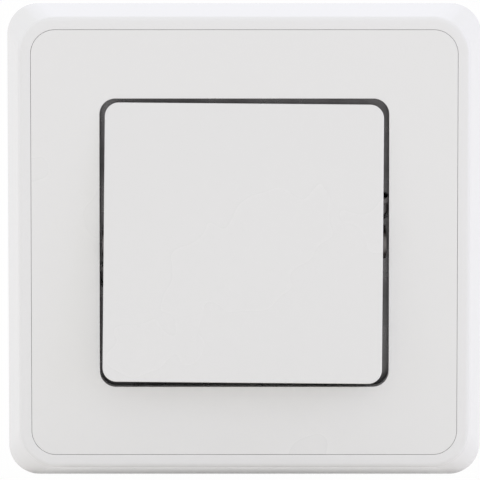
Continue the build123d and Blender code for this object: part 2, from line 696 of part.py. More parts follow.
def claw_nut(side):
    """The square nut behind a claw."""
    front = CLAW_FRONT - CLAW_SHEET - NUT_GAP
    nut = Pos(side * CLAW_X, side * CLAW_Y, front - NUT_THICK / 2) * Box(NUT_SIDE, NUT_SIDE, NUT_THICK)
    nut = chamfer(nut.edges().filter_by(Axis.Z), NUT_CORNER)
    return nut - pin(side * CLAW_X, side * CLAW_Y, CLAW_SCREW_R + RUNNING_FIT, (-30, 0))


def spreader_claw(side):
    """A folded steel claw: a fork round the screw, a bend, and a toothed blade behind."""
    inner_x = CLAW_OUTER_X - CLAW_SHEET
    under = CLAW_FRONT - CLAW_SHEET
    flare_z = CLAW_BACK + CLAW_FLARE_LENGTH
    points = [
        (CLAW_INNER_X, CLAW_FRONT),
        (CLAW_OUTER_X - CLAW_BEND, CLAW_FRONT),
        (CLAW_OUTER_X, CLAW_FRONT - CLAW_BEND),
        (CLAW_OUTER_X, flare_z),
        (CLAW_OUTER_X + CLAW_FLARE, CLAW_BACK),
        (inner_x + CLAW_FLARE, CLAW_BACK),
        (inner_x, flare_z + 0.2),
        (inner_x, under),
        (CLAW_INNER_X, under),
    ]
    y = side * CLAW_Y
    claw = side_plate([(side * px, pz) for px, pz in points], (y - CLAW_HALF_Y, y + CLAW_HALF_Y))
    fork = sorted((side * (CLAW_INNER_X - 1), side * CLAW_X))
    claw -= block(fork, (y - FORK_HALF, y + FORK_HALF), (CLAW_FRONT - 2, CLAW_FRONT + 1))
    claw -= rod(side * CLAW_X, y, FORK_HALF, (CLAW_FRONT - 2, CLAW_FRONT + 1))
    # saw teeth along the rear edge
    pitch = 2 * CLAW_HALF_Y / CLAW_TEETH
    for tooth in range(CLAW_TEETH + 1):
        at = y - CLAW_HALF_Y + tooth * pitch
        notch = Rot(0, 90, 0) * extrude(RegularPolygon(TOOTH_R, 4), 6, both=True)
        claw -= Pos(side * CLAW_OUTER_X, at, CLAW_BACK) * notch
    return claw


def pieces():
    """Every piece by name, lying on its back."""
    resting_top = RESTING_STRIP_Z
    moving = (LEVER_TOP + TIP_HEIGHT, LEVER_TOP - LEVER_THICK - TIP_HEIGHT)
    lever_z = (LEVER_TOP - LEVER_THICK, LEVER_TOP)
    made = {
        "surround_frame": surround_frame(),
        "centre_plate": centre_plate(),
        "key": on_pivot(key()),
        "rocker_carrier": on_pivot(rocker_carrier()),
        "support_yoke": support_yoke(),
        "mechanism_cover": mechanism_cover(),
        "mechanism_body": mechanism_body(),
        "cover_screws": cover_screws(),
        "plunger": plunger(),
        "contact_lever": contact_lever(),
        "moving_tip": contact_tip(*moving, neck=lever_z),
        "resting_strip": fixed_strip(1, RESTING_STRIP_Z),
        "resting_tip": contact_tip(resting_top, moving[0] + TIP_CLEARANCE),
        "working_strip": fixed_strip(-1, WORKING_STRIP_Z),
        "working_tip": contact_tip(WORKING_TIP_TOP, WORKING_STRIP_Z + STRIP_THICK),
        "common_strip": common_terminal(),
        "return_spring": return_spring(),
        "terminal_screws": terminal_screws(),
    }
    for number, (x, y) in enumerate(terminal_places(), start=1):
        made[f"terminal_cage_{number}"] = terminal_cage(x, y)
    for name, side in (("right", 1), ("left", -1)):
        made[f"claw_screw_{name}"] = claw_screw(side)
        made[f"claw_nut_{name}"] = claw_nut(side)
        made[f"spreader_claw_{name}"] = spreader_claw(side)
    return made


def stand_up(piece):
    """Turns a piece from the bench to the wall: the front looks along -Y, the top is +Z."""
    return Rot(90, 0, 0) * piece


os.makedirs("parts", exist_ok=True)
for name, piece in pieces().items():
    export_step(stand_up(piece), f"parts/{name}.step")
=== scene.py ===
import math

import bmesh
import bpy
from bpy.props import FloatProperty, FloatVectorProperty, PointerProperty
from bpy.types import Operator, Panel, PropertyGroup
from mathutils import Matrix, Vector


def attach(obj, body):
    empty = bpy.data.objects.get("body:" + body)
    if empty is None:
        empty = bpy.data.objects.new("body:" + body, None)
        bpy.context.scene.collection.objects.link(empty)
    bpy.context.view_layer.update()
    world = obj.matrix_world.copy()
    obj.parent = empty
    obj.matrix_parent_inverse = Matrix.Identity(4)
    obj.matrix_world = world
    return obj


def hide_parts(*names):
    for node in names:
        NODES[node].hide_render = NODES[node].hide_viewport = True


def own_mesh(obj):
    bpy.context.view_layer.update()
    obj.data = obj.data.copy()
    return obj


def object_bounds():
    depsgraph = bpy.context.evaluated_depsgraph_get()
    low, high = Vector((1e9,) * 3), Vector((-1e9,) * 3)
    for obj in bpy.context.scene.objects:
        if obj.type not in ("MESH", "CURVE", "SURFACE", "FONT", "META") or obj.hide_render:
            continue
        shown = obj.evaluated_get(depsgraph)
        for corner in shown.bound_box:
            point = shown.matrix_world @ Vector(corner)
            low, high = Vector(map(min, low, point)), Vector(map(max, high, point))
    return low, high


bl_info = {
    "name": "Flush Pushbutton Switch",
    "version": (1, 0, 0),
    "blender": (4, 5, 0),
    "location": "3D View > Sidebar > Switch",
    "description": "Builds the looks of a flush wall pushbutton around its packed CAD model",
    "category": "Object",
}

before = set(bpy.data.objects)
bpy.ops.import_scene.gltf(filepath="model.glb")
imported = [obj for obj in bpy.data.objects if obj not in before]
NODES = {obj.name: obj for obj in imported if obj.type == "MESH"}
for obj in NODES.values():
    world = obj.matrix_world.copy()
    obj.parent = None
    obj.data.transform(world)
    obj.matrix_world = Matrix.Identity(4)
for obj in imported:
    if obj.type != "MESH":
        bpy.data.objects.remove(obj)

CAD_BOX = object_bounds()
MM = 0.001
SMOOTH_ANGLE = math.radians(30)
# The edges that are out of sight are rounded less than those in front.
HIDDEN_EDGE = 0.6

# The switch is drawn as on a bench: x to the right, up towards its top, height out of the wall.
# In the frame the front looks along -Y, so a bench height becomes -Y.


def length(name, description, millimetres):
    """A size that a user may change, kept in metres."""
    return FloatProperty(name=name, description=description, default=millimetres * MM,
                         min=0.0, unit="LENGTH", subtype="DISTANCE", precision=4)


def place(name, description, millimetres):
    """A place along one axis, which may lie below zero, kept in metres."""
    return FloatProperty(name=name, description=description, default=millimetres * MM,
                         unit="LENGTH", subtype="DISTANCE", precision=4)


def angle(name, description, degrees):
    """An angle that a user may change."""
    return FloatProperty(name=name, description=description, default=math.radians(degrees),
                         unit="ROTATION", subtype="ANGLE")


def amount(name, description, value, least=0.0, unit="NONE"):
    """A number that doesn't fall below its least value."""
    return FloatProperty(name=name, description=description, default=value, min=least, unit=unit)


def colour(name, description, red, green, blue):
    """A base colour, linear."""
    return FloatVectorProperty(name=name, description=description, default=(red, green, blue),
                               size=3, min=0.0, max=1.0, subtype="COLOR")


class FrontSettings(PropertyGroup):
    """Sizes of the surround frame and the centre plate."""

    frame_side: length("Frame side", "Outer side at the wall", 81.8)
    frame_corner: length("Frame corner", "Corner radius at the wall", 5.3)
    foot: length("Foot", "Height of the upright foot", 0.6)
    front: length("Front", "Height of the front face above the wall", 8.0)
    crown: length("Crown", "Fall of the band to the shoulder", 0.1)
    shoulder_side: length("Shoulder side", "Side where the slope meets the front", 77.3)
    shoulder_corner: length("Shoulder corner", "Corner radius of the shoulder", 6.6)
    shoulder_round: length("Shoulder rounding", "Rounding between slope and front", 0.9)
    rebate_side: length("Rebate side", "Side of the recess for the plate", 73.2)
    rebate_corner: length("Rebate corner", "Corner radius of the recess", 4.2)
    plate_gap: length("Plate gap", "Gap between plate and frame", 0.05)
    plate_thick: length("Plate thickness", "Thickness of the plate at its rim", 2.1)
    ledge_side: length("Ledge side", "Side of the opening inside the ledge", 68.8)
    ledge_thick: length("Ledge thickness", "Thickness of the ledge behind the plate", 1.5)
    wall: length("Wall", "Thickness of the sides at the wall", 1.7)
    hollow_taper: angle("Hollow taper", "Slope of the hollow's sides", 17.0)
    opening_side: length("Opening side", "Side of the opening for the key", 49.6)
    opening_corner: length("Opening corner", "Corner radius of the opening", 2.7)
    guide_wall: length("Guide wall", "Thickness of the wall behind the opening", 1.2)
    guide_depth: length("Guide depth", "Depth of the opening's wall from the front", 2.9)
    edge_round: length("Edge rounding", "Rounding of the moulded front edges", 0.08)
    leg_inner: length("Leg inner face", "Clip legs from the middle", 25.3)
    leg_thick: length("Leg thickness", "Thickness of a clip leg", 1.2)
    frame_colour: colour("Frame colour", "Glossy white of the frame", 0.815, 0.815, 0.81)
    plate_colour: colour("Plate colour", "White of the centre plate", 0.81, 0.81, 0.80)


class KeySettings(PropertyGroup):
    """Sizes of the key and how it sits in the opening at rest."""

    side: length("Side", "Side of the key's face", 47.8)
    corner: length("Corner", "Corner radius of the face", 2.4)
    face_height: length("Face height", "Height of the face above the pivot axis", 4.96)
    face_thick: length("Face thickness", "Thickness behind the face", 1.8)
    wall: length("Skirt wall", "Thickness of the skirt", 1.3)
    skirt: length("Skirt", "Height of the skirt", 5.8)
    draft: length("Draft", "Each side, from face to rim", 0.2)
    edge_round: length("Edge rounding", "Rounding of the face's edge", 0.22)
    notch: length("Notch", "Width of the notch for the cheeks", 6.6)
    tilt: angle("Tilt", "Tilt at rest, lower edge out", 5.0)
    skew: angle("Skew", "Small turn of the key in its opening", 0.5)
    shift: length("Shift", "Small shift of the key to the left", 0.17)
    pivot_up: place("Pivot up", "Pivot axis above the middle of the switch", -0.25)
    pivot_height: place("Pivot height", "Pivot axis above the wall", 5.5)
    key_colour: colour("Key colour", "White of the key", 0.795, 0.795, 0.785)


class MechanismSettings(PropertyGroup):
    """Sizes and colours of what is behind the front."""

    cover_screw_x: length("Cover screws across", "Half the spacing of the cover screws", 15.6)
    cover_screw_up: length("Cover screws up", "Half the height of the cover screws", 17.8)
    claw_screw_x: length("Claw screw across", "Claw screws from the middle", 23.2)
    claw_screw_up: length("Claw screw up", "Claw screws above or below the middle", 6.0)
    thread_pitch: length("Thread pitch", "Pitch of the claw screws' threads", 0.5)
    thread_start: length("Thread start", "Plain neck of a claw screw before its thread", 0.9)
    yoke_face: length("Yoke face", "Seat of the claw screws above the wall", 1.0)
    cover_face: length("Cover face", "Seat of the cover screws above the wall", 3.0)
    terminal_x: length("Terminals across", "Outer terminal screws from the middle", 9.9)
    terminal_up: length("Terminals up", "Terminal screws above or below the middle", 14.5)
    terminal_seat: length("Terminal seat", "Terminal screws behind the wall", 19.35)
    spring_wire: length("Spring wire", "Radius of the return spring's wire", 0.25)
    spring_radius: length("Spring radius", "Radius of the return spring", 2.1)
    spring_foot: place("Spring foot", "Rear end of the return spring, from the wall", -12.5)
    spring_top: place("Spring top", "Front end of the return spring, from the wall", -4.95)
    spring_up: place("Spring up", "Return spring from the middle, upwards", -9.2)
    spring_turns: amount("Spring turns", "Turns of the return spring", 6.0, least=1.0)
    body_colour: colour("Body colour", "Moulded rear body", 0.44, 0.45, 0.46)
    cover_colour: colour("Cover colour", "Moulded cover", 0.22, 0.205, 0.20)
    carrier_colour: colour("Carrier colour", "Moulded rocker and plunger", 0.46, 0.45, 0.44)
    zinc_colour: colour("Zinc colour", "Zinc plated steel", 0.56, 0.57, 0.58)
    brass_colour: colour("Brass colour", "Stamped brass strip", 0.66, 0.45, 0.18)
    silver_colour: colour("Silver colour", "Contact silver", 0.80, 0.79, 0.76)
    spring_colour: colour("Spring colour", "Drawn spring wire", 0.42, 0.42, 0.43)


class StageSettings(PropertyGroup):
    """The floor, the lights and the camera."""

    distance: length("Camera distance", "From the middle of the switch to the camera", 750.0)
    elevation: angle("Camera elevation", "Height of the camera above the horizon", 4.7)
    lens: amount("Lens", "Focal length, for a 36 mm wide picture", 326.1, least=1.0, unit="CAMERA")
    look_x: place("Look across", "Where the camera looks, across", -0.74)
    look_up: place("Look up", "Where the camera looks, upwards", 0.19)
    look_height: length("Look height", "Where the camera looks, above the wall", 4.0)
    floor_drop: length("Floor drop", "Floor below the switch's lower edge", 1.8)
    floor_colour: colour("Floor colour", "Pale floor", 0.90, 0.88, 0.85)
    floor_white: amount("Floor white", "How far the floor shows as plain white, up to 1", 0.97)
    fill: amount("Fill", "Strength of the even light at the horizon", 0.885)
    zenith: amount("Zenith", "Light from straight above, beyond the fill", 0.12)
    top_power: amount("Top light", "Power of the softbox above", 0.42, unit="POWER")
    left_power: amount("Left light", "Power of the softbox at the left", 0.8, unit="POWER")
    right_power: amount("Right light", "Power of the softbox at the right", 2.0, unit="POWER")
    lamp_colour: colour("Lamp colour", "Colour of the softboxes, a little cool", 0.70, 0.70, 1.0)


# Mesh building


def placed(name, data):
    """A new object in the scene with the given data."""
    piece = bpy.data.objects.new(name, data)
    bpy.context.scene.collection.objects.link(piece)
    return piece


def object_from(name, bm):
    """Turns a bmesh into an object at the origin, smooth where its faces meet gently."""
    bmesh.ops.recalc_face_normals(bm, faces=bm.faces)
    mesh = bpy.data.meshes.new(name)
    bm.to_mesh(mesh)
    bm.free()
    mesh.shade_smooth()
    mesh.set_sharp_from_angle(angle=SMOOTH_ANGLE)
    return placed(name, mesh)


def rounded_square(half, corner, segments):
    """The outline of a square with round corners, once round."""
    points = []
    for quarter in range(4):
        diagonal = math.radians(45 + 90 * quarter)
        centre_x = math.copysign(half - corner, math.cos(diagonal))
        centre_up = math.copysign(half - corner, math.sin(diagonal))
        for step in range(segments + 1):
            turn = math.radians(90) * (quarter + step / segments)
            points.append((centre_x + corner * math.cos(turn), centre_up + corner * math.sin(turn)))
    return points


def blend_stations(start, end, part):
    """A station between two: half side, corner radius and height."""
    return tuple(a + (b - a) * part for a, b in zip(start, end))


def rounded_stations(corners, closed, steps=6, hold=0.12 * MM):
    """Stations along a section. Each corner is half side, corner radius, height and rounding."""
    stations = []
    count = len(corners)
    for index, (*here, rounding) in enumerate(corners):
        middle = (0.0, 0.0, here[2])
        before = corners[index - 1][:3] if closed or index else middle
        after = corners[(index + 1) % count][:3] if closed or index < count - 1 else middle
        point = Vector((here[0], here[2]))
        back = Vector((before[0], before[2])) - point
        ahead = Vector((after[0], after[2])) - point
        bend = math.pi - back.angle(ahead)
        reach = rounding * math.tan(bend / 2)
        start = blend_stations(here, before, reach / back.length)
        end = blend_stations(here, after, reach / ahead.length)
        bisector = (back.normalized() + ahead.normalized()).normalized()
        centre = point + bisector * (rounding / math.cos(bend / 2))
        first = Vector((start[0], start[2])) - centre
        stations.append(blend_stations(here, before, (reach + hold) / back.length))
        sign = 1 if back.x * ahead.y - back.y * ahead.x < 0 else -1
        for step in range(steps + 1):
            part = step / steps
            turned = centre + Matrix.Rotation(sign * bend * part, 2) @ first
            radius = start[1] + (end[1] - start[1]) * part
            stations.append((turned.x, radius, turned.y))
        stations.append(blend_stations(here, after, (reach + hold) / ahead.length))
    return stations


def join_rings(bm, rings, closed=False):
    """Joins rings of points with quads, and closes both ends unless the rings run round."""
    pairs = list(zip(rings, rings[1:]))
    if closed:
        pairs.append((rings[-1], rings[0]))
    for low, high in pairs:
        for index in range(len(low)):
            after = (index + 1) % len(low)
            bm.faces.new((low[index], low[after], high[after], high[index]))
    if not closed:
        bm.faces.new(rings[0])
        bm.faces.new(rings[-1])


def add_loft(bm, stations, closed, segments):
    """Joins the outlines at the stations."""
    least_corner = 0.02 * MM
    rings = []
    for half, corner, height in stations:
        outline = rounded_square(half, max(corner, least_corner), segments)
        rings.append([bm.verts.new((x, -height, up)) for x, up in outline])
    join_rings(bm, rings, closed)


def add_prism(bm, outline, ends, place_point):
    """A closed outline drawn out between two ends; place_point gives a corner its place."""
    join_rings(bm, [[bm.verts.new(place_point(a, b, end)) for a, b in outline] for end in ends])


def add_box(bm, x, up, height):
    """A box between two values on each bench axis."""
    outline = [(x[0], up[0]), (x[1], up[0]), (x[1], up[1]), (x[0], up[1])]
    add_prism(bm, outline, height, lambda a, b, h: (a, -h, b))


def add_lathe(bm, profile, segments=40):
    """A turned form about the bench's height axis. Each point is a radius and a height."""
    turns = [2 * math.pi * step / segments for step in range(segments)]
    join_rings(bm, [[bm.verts.new((radius * math.cos(turn), -height, radius * math.sin(turn)))
                     for turn in turns] for radius, height in profile])


def bevelled(bm, width):
    """Rounds the sharp edges of a bmesh."""
    edges = [e for e in bm.edges if len(e.link_faces) == 2 and e.calc_face_angle() > SMOOTH_ANGLE]
    bmesh.ops.bevel(bm, geom=edges, offset=width, segments=2, affect="EDGES",
                    profile=0.5, clamp_overlap=True)


def baked(piece):
    """Turns a piece with modifiers into one with a plain mesh."""
    graph = bpy.context.evaluated_depsgraph_get()
    mesh = bpy.data.meshes.new_from_object(piece.evaluated_get(graph))
    piece.modifiers.clear()
    old = piece.data
    piece.data = mesh
    mesh.name = piece.name
    bpy.data.meshes.remove(old)
    return piece


def cut(piece, cutter):
    """Takes one form away from a piece."""
    modifier = piece.modifiers.new("Cut", "BOOLEAN")
    modifier.operation = "DIFFERENCE"
    modifier.solver = "EXACT"
    modifier.object = cutter
    baked(piece)
    bpy.data.objects.remove(cutter)
    piece.data.shade_smooth()
    piece.data.set_sharp_from_angle(angle=SMOOTH_ANGLE)
    return piece


def dressed(piece, material, body, slot, *replaced):
    """Gives a finished piece its material and its body, and hides the CAD nodes that it stands for. The
    slot is not used.
    """
    piece.data.materials.clear()
    piece.data.materials.append(material)
    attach(piece, body)
    if replaced:
        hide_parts(*replaced)


def finish_node(name, material):
    """Gives a CAD node that stays a better material."""
    for slot in NODES[name].material_slots:
        slot.material = material


# Node trees


def socket_kind(label, default):
    """The kind of socket that suits an input's name and default."""
    if default is None:
        return "NodeSocketMaterial" if label == "Material" else "NodeSocketObject"
    if isinstance(default, tuple):
        return "NodeSocketColor" if len(default) == 4 else "NodeSocketVector"
    return "NodeSocketInt" if isinstance(default, int) else "NodeSocketFloat"


def new_tree(name, kind, inputs):
    """A node tree with named inputs, each with its default, and the sockets that give them."""
    tree = bpy.data.node_groups.new(name, kind)
    if kind == "GeometryNodeTree":
        for way in ("INPUT", "OUTPUT"):
            tree.interface.new_socket("Geometry", in_out=way, socket_type="NodeSocketGeometry")
    for label, default in inputs.items():
        socket = tree.interface.new_socket(label, in_out="INPUT", socket_type=socket_kind(label, default))
        if default is not None:
            socket.default_value = default
    return tree, tree.nodes.new("NodeGroupInput").outputs


def add_node(tree, kind, links=None, **settings):
    """Adds a node, sets its properties, and links or sets its inputs by name or number.

    A node among the links stands for its first output."""
    node = tree.nodes.new(kind)
    for key, value in settings.items():
        setattr(node, key, value)
    for key, source in (links or {}).items():
        socket = node.inputs[key]
        if isinstance(source, bpy.types.Node):
            source = source.outputs[0]
        if isinstance(source, bpy.types.NodeSocket):
            tree.links.new(source, socket)
        else:
            socket.default_value = source
    return node


def result_of(tree, operation, *values):
    """The result of a sum on sockets or numbers."""
    return add_node(tree, "ShaderNodeMath", dict(enumerate(values)), operation=operation).outputs[0]


def vector_of(tree, **parts):
    """A vector from sockets or numbers named X, Y and Z."""
    return add_node(tree, "ShaderNodeCombineXYZ", parts).outputs["Vector"]


def scaled(tree, vector, factor):
    """A vector or colour times a number."""
    node = add_node(tree, "ShaderNodeVectorMath", {0: vector, "Scale": factor}, operation="SCALE")
    return node.outputs["Vector"]


def ramp(tree, value, low=0.0, high=1.0, start=0.0, end=1.0):
    """Goes from start to end as the value goes from low to high, and no further."""
    return add_node(tree, "ShaderNodeMapRange", {"Value": value, "From Min": low, "From Max": high,
                                                 "To Min": start, "To Max": end}).outputs["Result"]


def mixed(tree, factor, first, second):
    """A colour between two."""
    return add_node(tree, "ShaderNodeMix", {"Factor": factor, 6: first, 7: second},
                    data_type="RGBA").outputs[2]


def noise(tree, where, scale, detail=2.0, roughness=0.5):
    """A noise from zero to one."""
    return add_node(tree, "ShaderNodeTexNoise", {"Vector": where, "Scale": scale, "Detail": detail,
                                                 "Roughness": roughness}).outputs["Fac"]


# Geometry Nodes


def run_tree(name, tree, values, source=None):
    """Runs a tree on a new object, or on a source mesh, and keeps the result as a plain mesh."""
    piece = placed(name, source or bpy.data.meshes.new(name))
    modifier = piece.modifiers.new(tree.name, "NODES")
    modifier.node_group = tree
    for item in tree.interface.items_tree:
        if item.item_type == "SOCKET" and item.in_out == "INPUT" and item.name in values:
            modifier[item.identifier] = values[item.name]
    return baked(piece)


def end_tree(tree, geometry, material):
    """Realizes the instances and sets the material, as the last two steps."""
    real = add_node(tree, "GeometryNodeRealizeInstances", {"Geometry": geometry})
    painted = add_node(tree, "GeometryNodeSetMaterial",
                       {"Geometry": real, "Material": material})
    add_node(tree, "NodeGroupOutput", {"Geometry": painted})
    return tree


def rib_tree():
    """Rows of ribs on the four sides of a square, all pointing at its middle."""
    tree, given = new_tree("Rib Rows", "GeometryNodeTree", {
        "Count": 4, "Spacing": 16.0 * MM, "Length": 3.0 * MM, "Width": 1.0 * MM, "Height": 2.0 * MM,
        "Reach": 30.0 * MM, "Level": 1.0 * MM, "Material": None})
    size = vector_of(tree, X=given["Length"], Y=given["Height"], Z=given["Width"])
    rib = add_node(tree, "GeometryNodeMeshCube", {"Size": size})
    less_one = result_of(tree, "SUBTRACT", given["Count"], 1.0)
    half_span = result_of(tree, "MULTIPLY", less_one, -0.5)
    first = result_of(tree, "MULTIPLY", half_span, given["Spacing"])
    level = result_of(tree, "MULTIPLY", given["Level"], -1.0)
    row = add_node(tree, "GeometryNodeMeshLine",
                   {"Count": given["Count"],
                    "Start Location": vector_of(tree, X=given["Reach"], Y=level, Z=first),
                    "Offset": vector_of(tree, Z=given["Spacing"])})
    ribs = add_node(tree, "GeometryNodeInstanceOnPoints",
                    {"Points": row, "Instance": rib})
    side_points = add_node(tree, "GeometryNodeMeshLine", {"Count": 4, "Offset": (0.0, 0.0, 0.0)})
    index = tree.nodes.new("GeometryNodeInputIndex").outputs[0]
    quarter = result_of(tree, "MULTIPLY", index, math.pi / 2)
    sides = add_node(tree, "GeometryNodeInstanceOnPoints",
                     {"Points": side_points, "Instance": ribs,
                      "Rotation": vector_of(tree, Y=quarter)})
    return end_tree(tree, sides, given["Material"])


def helix_tree():
    """A wire or thread ridge wound about the Y axis."""
    tree, given = new_tree("Wound Ridge", "GeometryNodeTree", {
        "Turns": 6.0, "Steps": 24, "Radius": 2.0 * MM, "Rise": 5.0 * MM, "Wire": 0.25 * MM,
        "Sides": 8, "Centre": (0.0, 0.0, 0.0), "Material": None})
    spiral = add_node(tree, "GeometryNodeCurveSpiral",
                      {"Resolution": given["Steps"], "Rotations": given["Turns"],
                       "Start Radius": given["Radius"], "End Radius": given["Radius"],
                       "Height": given["Rise"]})
    section = add_node(tree, "GeometryNodeCurvePrimitiveCircle",
                       {"Resolution": given["Sides"], "Radius": given["Wire"]})
    wire = add_node(tree, "GeometryNodeCurveToMesh",
                    {"Curve": spiral, "Profile Curve": section, "Fill Caps": True})
    lying = add_node(tree, "GeometryNodeTransform",
                     {"Geometry": wire, "Translation": given["Centre"],
                      "Rotation": (math.radians(-90), 0.0, 0.0)})
    smooth = add_node(tree, "GeometryNodeSetShadeSmooth",
                      {"Geometry": lying, "Shade Smooth": True})
    return end_tree(tree, smooth, given["Material"])


def seat_tree():
    """Sets copies of one screw on seats, each turned as its tightening left it."""
    inputs = {"Screw": None, "Seed": 3, "Material": None}
    tree, given = new_tree("Seated Screws", "GeometryNodeTree", inputs)
    screw = add_node(tree, "GeometryNodeObjectInfo", {"Object": given["Screw"]})
    random = add_node(tree, "FunctionNodeRandomValue", {"Seed": given["Seed"], 3: math.pi},
                      data_type="FLOAT")
    seated = add_node(tree, "GeometryNodeInstanceOnPoints",
                      {"Points": given["Geometry"], "Instance": screw.outputs["Geometry"],
                       "Rotation": vector_of(tree, Y=random.outputs[1])})
    return end_tree(tree, seated, given["Material"])


# Shader node groups and materials


def give_out(tree, **results):
    """Adds a shader group's outputs and links each to its result."""
    for label in results:
        kind = "NodeSocketColor" if label == "Colour" else "NodeSocketFloat"
        tree.interface.new_socket(label, in_out="OUTPUT", socket_type=kind)
    add_node(tree, "NodeGroupOutput", results)
    return tree


def moulded_group():
    """Moulded plastic: a fine grain, a slow change of tone, and uneven gloss."""
    tree, given = new_tree("Moulded Grain", "ShaderNodeTree", {
        "Colour": (0.8, 0.8, 0.8, 1.0), "Tone Change": 0.02, "Grain Scale": 2500.0,
        "Roughness": 0.25, "Roughness Change": 0.06})
    where = tree.nodes.new("ShaderNodeTexCoord").outputs["Object"]
    slow = noise(tree, where, scale=28.0, detail=3.0)
    fine = noise(tree, where, given["Grain Scale"], roughness=0.6)
    centred = result_of(tree, "SUBTRACT", slow, 0.5)
    change = result_of(tree, "MULTIPLY_ADD", centred, given["Tone Change"], 1.0)
    rough = result_of(tree, "MULTIPLY_ADD", centred, given["Roughness Change"], given["Roughness"])
    tone = scaled(tree, given["Colour"], change)
    return give_out(tree, Colour=tone, Roughness=rough, Height=fine)


def plated_group():
    """Plated or rolled metal: drawn-out streaks, a mottled tone and uneven gloss."""
    tree, given = new_tree("Metal Grain", "ShaderNodeTree", {
        "Colour": (0.6, 0.6, 0.6, 1.0), "Dull Colour": (0.4, 0.4, 0.4, 1.0),
        "Streaks": (200.0, 200.0, 2400.0), "Mottle Scale": 160.0, "Mottle": 0.4,
        "Roughness": 0.3, "Roughness Change": 0.2})
    where = tree.nodes.new("ShaderNodeTexCoord").outputs["Object"]
    drawn = add_node(tree, "ShaderNodeVectorMath", {0: where, 1: given["Streaks"]}, operation="MULTIPLY")
    streaks = noise(tree, drawn, scale=1.0, detail=3.0)
    mottle = noise(tree, where, given["Mottle Scale"], detail=4.0, roughness=0.6)
    mask = ramp(tree, mottle, low=0.42, high=0.68)
    amount = result_of(tree, "MULTIPLY", mask, given["Mottle"])
    tone = mixed(tree, amount, given["Colour"], given["Dull Colour"])
    patches = result_of(tree, "MULTIPLY", streaks, mask)
    rough = result_of(tree, "MULTIPLY_ADD", patches, given["Roughness Change"], given["Roughness"])
    return give_out(tree, Colour=tone, Roughness=rough, Height=streaks)


def gap_group():
    """Turns a colour to a deep one far down in narrow gaps, where little light comes in."""
    tree, given = new_tree("Gap Shade", "ShaderNodeTree", {
        "Colour": (0.8, 0.8, 0.8, 1.0), "Depth": 5.0 * MM, "Shade": 0.9,
        "Deep Colour": (0.056, 0.043, 0.042, 1.0)})
    openness = add_node(tree, "ShaderNodeAmbientOcclusion", {"Distance": given["Depth"]}, samples=16)
    narrow = ramp(tree, openness.outputs["AO"], low=0.22, high=0.46, start=1.0, end=0.0)
    shade = result_of(tree, "MULTIPLY", narrow, given["Shade"])
    return give_out(tree, Colour=mixed(tree, shade, given["Colour"], given["Deep Colour"]))


def shared_group(name, build):
    """A node group that is built once and then used again."""
    return bpy.data.node_groups.get(name) or build()


def surface_material(name, group, values, bump, metallic=0.0, shade=0.0, depth=5.0 * MM, edge=0.0):
    """A material whose colour, roughness and bump come from a shared group.

    The shade is how much darker it is where something stands nearer than the depth all round,
    and the edge is the radius to which sharp edges look rounded."""
    material = bpy.data.materials.get(name)
    if material:
        return material
    material = bpy.data.materials.new(name)
    material.use_nodes = True
    tree = material.node_tree
    shader = tree.nodes["Principled BSDF"]
    shader.inputs["Metallic"].default_value = metallic
    surface = add_node(tree, "ShaderNodeGroup", values, node_tree=group)
    relief = add_node(tree, "ShaderNodeBump", {"Strength": 1.0, "Distance": bump,
                                               "Height": surface.outputs["Height"]})
    if edge:
        soft = add_node(tree, "ShaderNodeBevel", {"Radius": edge}, samples=4)
        tree.links.new(soft.outputs["Normal"], relief.inputs["Normal"])
    tint = surface.outputs["Colour"]
    if shade:
        shaded = add_node(tree, "ShaderNodeGroup", {"Colour": tint, "Shade": shade, "Depth": depth},
                          node_tree=shared_group("Gap Shade", gap_group))
        tint = shaded.outputs["Colour"]
    tree.links.new(tint, shader.inputs["Base Color"])
    tree.links.new(surface.outputs["Roughness"], shader.inputs["Roughness"])
    tree.links.new(relief.outputs["Normal"], shader.inputs["Normal"])
    return material


def plastic(name, tint, roughness, grain=2500.0, bump=0.0005 * MM, change=0.05, tone=0.02, **looks):
    """A moulded plastic."""
    values = {"Colour": (*tint, 1.0), "Tone Change": tone, "Grain Scale": grain,
              "Roughness": roughness, "Roughness Change": change}
    return surface_material(name, shared_group("Moulded Grain", moulded_group), values, bump, **looks)


def toned(tint, factor):
    """A colour made darker or lighter."""
    return tuple(factor * part for part in tint)


def metal(name, tint, dull, roughness, streaks, mottle, change=0.2, **looks):
    """A plated, rolled or drawn metal."""
    values = {"Colour": (*tint, 1.0), "Dull Colour": (*dull, 1.0), "Streaks": streaks,
              "Mottle": mottle, "Roughness": roughness, "Roughness Change": change}
    return surface_material(name, shared_group("Metal Grain", plated_group), values,
                            bump=0.003 * MM, metallic=1.0, **looks)


def mechanism():
    """The settings of what is behind the front."""
    return bpy.context.scene.switch_mechanism


def frame_plastic():
    """The frame's polished white plastic."""
    tint = bpy.context.scene.switch_front.frame_colour
    return plastic("Frame Gloss White", tint, roughness=0.14, change=0.04, bump=0.0006 * MM, shade=0.35)


def plate_plastic():
    """The plate's white plastic, a little less glossy."""
    tint = bpy.context.scene.switch_front.plate_colour
    return plastic("Plate White", tint, roughness=0.28, shade=0.97)


def key_plastic():
    """The key's white plastic."""
    tint = bpy.context.scene.switch_key.key_colour
    return plastic("Key White", tint, roughness=0.27, shade=0.97)


def body_plastic():
    """The rear body's filled plastic."""
    return plastic("Body Grey", mechanism().body_colour, roughness=0.46, grain=1800.0,
                   bump=0.006 * MM, change=0.2, tone=0.12, edge=0.25 * MM)


def cover_plastic():
    """The cover's dark plastic."""
    return plastic("Cover Grey", mechanism().cover_colour, roughness=0.42, grain=1800.0,
                   bump=0.005 * MM, change=0.2, tone=0.1, shade=0.97, depth=25.0 * MM, edge=0.2 * MM)


def carrier_plastic():
    """The rocker's slippery plastic."""
    return plastic("Carrier Plastic", mechanism().carrier_colour, roughness=0.36, bump=0.003 * MM,
                   change=0.1, tone=0.06, shade=0.95, depth=25.0 * MM, edge=0.2 * MM)


